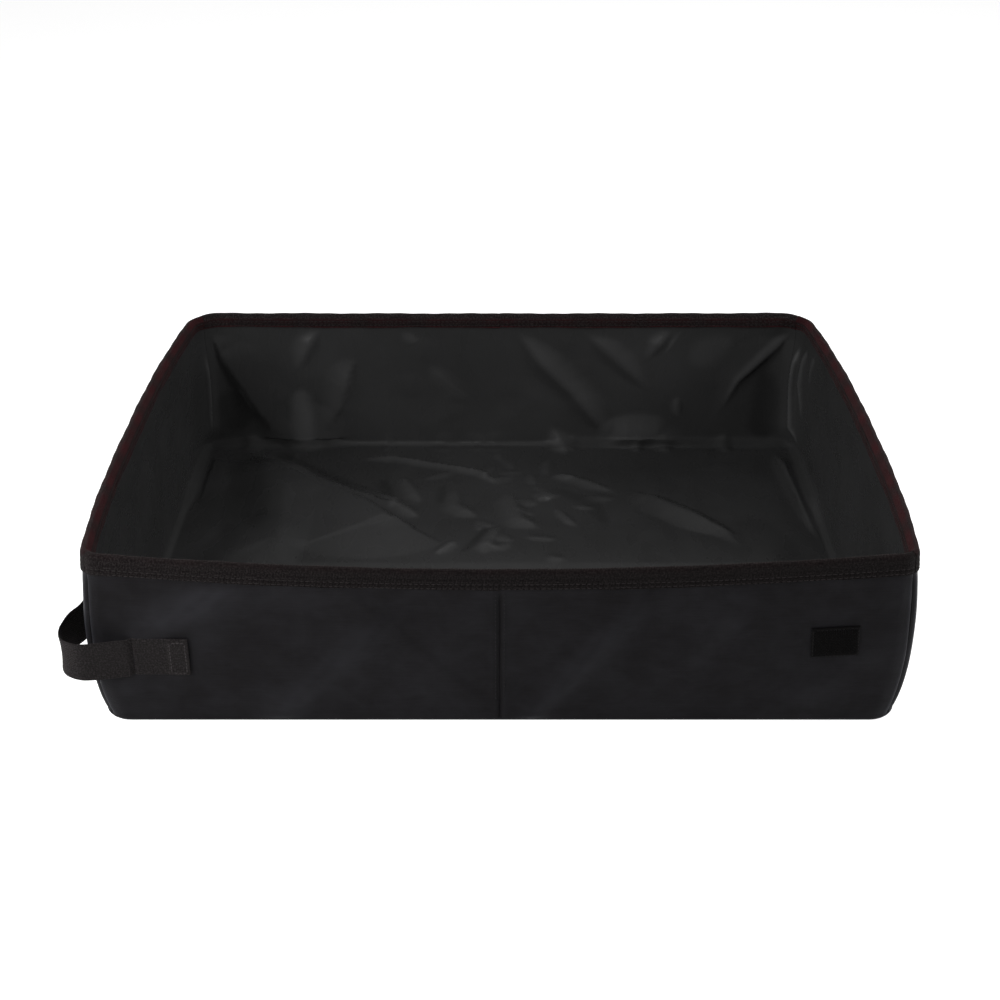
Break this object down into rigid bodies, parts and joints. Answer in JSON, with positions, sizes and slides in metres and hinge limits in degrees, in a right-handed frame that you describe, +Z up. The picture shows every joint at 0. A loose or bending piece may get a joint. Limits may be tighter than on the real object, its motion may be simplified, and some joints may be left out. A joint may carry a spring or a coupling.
{
  "type": "foldable litter box",
  "caption": "Open rectangular cloth tray for pet litter with stiffened walls and floor, glossy lining, bound rim, a corner strap and a centre fold.",
  "frame": {"origin": "middle of the bottom, on the strip that the box folds about", "axes": "+X along the long side to the right, +Y to the back, +Z up"},
  "size_m": [0.5303, 0.4191, 0.12],
  "materials": {
    "cover_cloth": "woven, slight sheen",
    "stiffener": "matte sheet",
    "cover_liner": "creased glossy film",
    "cover_binding": "ribbed webbing",
    "webbing": "ribbed webbing",
    "hook_tape": "hook tape"
  },
  "bodies": {
    "floor_right": {"floor_cloth_right": "cover_cloth", "floor_board_right": "stiffener", "floor_liner_right": "cover_liner", "fold_hinge": "cover_cloth"},
    "floor_left": {"floor_cloth_left": "cover_cloth", "floor_board_left": "stiffener", "floor_liner_left": "cover_liner"},
    "front_right": {"front_cloth_right": "cover_cloth", "front_board_right": "stiffener", "front_liner_right": "cover_liner", "front_binding_right": "cover_binding", "hook_patch": "hook_tape"},
    "front_left": {"front_cloth_left": "cover_cloth", "front_board_left": "stiffener", "front_liner_left": "cover_liner", "front_binding_left": "cover_binding", "carry_strap": "webbing"},
    "rear_right": {"rear_cloth_right": "cover_cloth", "rear_board_right": "stiffener", "rear_liner_right": "cover_liner", "rear_binding_right": "cover_binding"},
    "rear_left": {"rear_cloth_left": "cover_cloth", "rear_board_left": "stiffener", "rear_liner_left": "cover_liner", "rear_binding_left": "cover_binding"},
    "end_right": {"end_cloth_right": "cover_cloth", "end_board_right": "stiffener", "end_liner_right": "cover_liner", "end_binding_right": "cover_binding"},
    "end_left": {"end_cloth_left": "cover_cloth", "end_board_left": "stiffener", "end_liner_left": "cover_liner", "end_binding_left": "cover_binding"}
  },
  "joints": [
    {"name": "centre_fold", "type": "hinge", "parent": "floor_right", "child": "floor_left", "pos_m": [0, 0, 0.0218], "axis": [0, 1, 0], "range_deg": [0, 180], "deforming": ["floor_liner_right", "floor_liner_left"]},
    {"name": "front_right_fold", "type": "hinge", "parent": "floor_right", "child": "front_right", "pos_m": [0.125, -0.1946, 0.0108], "axis": [-1, 0, 0], "range_deg": [0, 90], "deforming": ["front_cloth_right", "front_liner_right", "front_binding_right"]},
    {"name": "front_left_fold", "type": "hinge", "parent": "floor_left", "child": "front_left", "pos_m": [-0.125, -0.1946, 0.0108], "axis": [-1, 0, 0], "range_deg": [0, 90], "deforming": ["front_cloth_left", "front_liner_left", "front_binding_left", "carry_strap"]},
    {"name": "rear_right_fold", "type": "hinge", "parent": "floor_right", "child": "rear_right", "pos_m": [0.125, 0.1946, 0.0108], "axis": [1, 0, 0], "range_deg": [0, 90], "deforming": ["rear_cloth_right", "rear_liner_right", "rear_binding_right"]},
    {"name": "rear_left_fold", "type": "hinge", "parent": "floor_left", "child": "rear_left", "pos_m": [-0.125, 0.1946, 0.0108], "axis": [1, 0, 0], "range_deg": [0, 90], "deforming": ["rear_cloth_left", "rear_liner_left", "rear_binding_left"]},
    {"name": "end_right_fold", "type": "hinge", "parent": "floor_right", "child": "end_right", "pos_m": [0.2446, 0, 0.005], "axis": [0, -1, 0], "range_deg": [0, 90], "deforming": ["end_cloth_right", "end_liner_right", "end_binding_right"]},
    {"name": "end_left_fold", "type": "hinge", "parent": "floor_left", "child": "end_left", "pos_m": [-0.2446, 0, 0.005], "axis": [0, 1, 0], "range_deg": [0, 90], "deforming": ["end_cloth_left", "end_liner_left", "end_binding_left"]}
  ],
  "couplings": [
    {"joint": "front_right_fold", "follows": "centre_fold", "ratio": 0.5},
    {"joint": "front_left_fold", "follows": "centre_fold", "ratio": 0.5},
    {"joint": "rear_right_fold", "follows": "centre_fold", "ratio": 0.5},
    {"joint": "rear_left_fold", "follows": "centre_fold", "ratio": 0.5},
    {"joint": "end_right_fold", "follows": "centre_fold", "ratio": 0.5},
    {"joint": "end_left_fold", "follows": "centre_fold", "ratio": 0.5}
  ]
}
